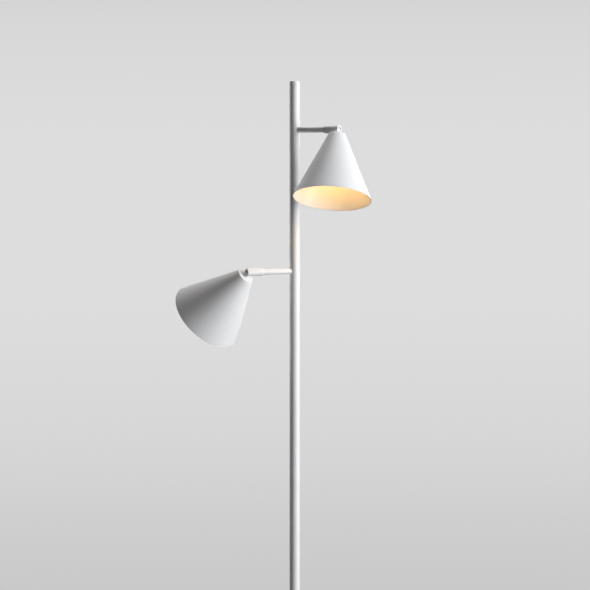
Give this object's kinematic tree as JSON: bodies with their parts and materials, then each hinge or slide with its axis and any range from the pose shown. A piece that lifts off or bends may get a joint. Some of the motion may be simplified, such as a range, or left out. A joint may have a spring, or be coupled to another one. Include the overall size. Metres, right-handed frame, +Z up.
{
  "type": "floor lamp",
  "caption": "Slim floor lamp: a straight pole on a round base holds two short arms, each with a cone shade that swivels about its arm and tilts outwards.",
  "frame": {"origin": "middle of the base pad's underside, on the pole's axis", "axes": "+Z up along the pole, -Y to the front, with the upper arm pointing forwards and to the right (+X), the lower arm forwards and to the left"},
  "size_m": [0.3833, 0.3036, 1.5],
  "materials": {
    "powder_coat": "satin white powder coat on steel",
    "shade_paint": "satin white powder coat on spun sheet steel, white inside too",
    "pad": "matt grey foam rubber",
    "white_plastic": "matt white plastic",
    "holder_plastic": "off-white heat-proof plastic",
    "nylon": "natural nylon",
    "steel": "turned zinc-plated steel",
    "screw_steel": "zinc-plated screws",
    "brass": "pressed brass",
    "bulb_metal": "rolled aluminium screw base",
    "bulb_glass": "frosted opal glass, lit",
    "lead_jacket": "white silicone insulation"
  },
  "bodies": {
    "stand": {"base_plate": "powder_coat", "base_pad": "pad", "inlet_bush": "white_plastic", "pole_spigot": "steel", "spigot_screws": "screw_steel", "pole": "powder_coat", "pole_lock_screw": "screw_steel", "pole_cap": "powder_coat", "lead_connector": "holder_plastic", "upper_lead": "lead_jacket", "lower_lead": "lead_jacket", "upper_arm_rod": "powder_coat", "lower_arm_rod": "powder_coat"},
    "upper_knuckle": {"upper_swivel_collar": "powder_coat", "upper_knuckle_sleeve": "powder_coat", "upper_swivel_bush": "nylon", "upper_stop_screw": "screw_steel", "upper_tilt_pins": "powder_coat", "upper_tilt_washers": "screw_steel"},
    "upper_head": {"upper_knuckle_stem": "powder_coat", "upper_shade": "shade_paint", "upper_stem_washer": "screw_steel", "upper_stem_nut": "screw_steel", "upper_holder_cap": "holder_plastic", "upper_holder_body": "holder_plastic", "upper_holder_contacts": "brass", "upper_bulb_base": "bulb_metal", "upper_bulb_glass": "bulb_glass", "upper_head_lead": "lead_jacket"},
    "lower_knuckle": {"lower_swivel_collar": "powder_coat", "lower_knuckle_sleeve": "powder_coat", "lower_swivel_bush": "nylon", "lower_stop_screw": "screw_steel", "lower_tilt_pins": "powder_coat", "lower_tilt_washers": "screw_steel"},
    "lower_head": {"lower_knuckle_stem": "powder_coat", "lower_shade": "shade_paint", "lower_stem_washer": "screw_steel", "lower_stem_nut": "screw_steel", "lower_holder_cap": "holder_plastic", "lower_holder_body": "holder_plastic", "lower_holder_contacts": "brass", "lower_bulb_base": "bulb_metal", "lower_bulb_glass": "bulb_glass", "lower_head_lead": "lead_jacket"}
  },
  "joints": [
    {"name": "upper_swivel", "type": "hinge", "parent": "stand", "child": "upper_knuckle", "pos_m": [0.08526, -0.05225, 1.406], "axis": [0.8526, -0.5225, 0], "range_deg": [-112, 148]},
    {"name": "upper_tilt", "type": "hinge", "parent": "upper_knuckle", "child": "upper_head", "pos_m": [0.08526, -0.05225, 1.406], "axis": [-0.4969, -0.8109, 0.309], "range_deg": [-11, 83]},
    {"name": "lower_swivel", "type": "hinge", "parent": "stand", "child": "lower_knuckle", "pos_m": [-0.08526, -0.05225, 1.132], "axis": [-0.8526, -0.5225, 0], "range_deg": [-82.5, 177.5]},
    {"name": "lower_tilt", "type": "hinge", "parent": "lower_knuckle", "child": "lower_head", "pos_m": [-0.08526, -0.05225, 1.132], "axis": [-0.353, 0.576, 0.7373], "range_deg": [-21.5, 72.5]}
  ]
}
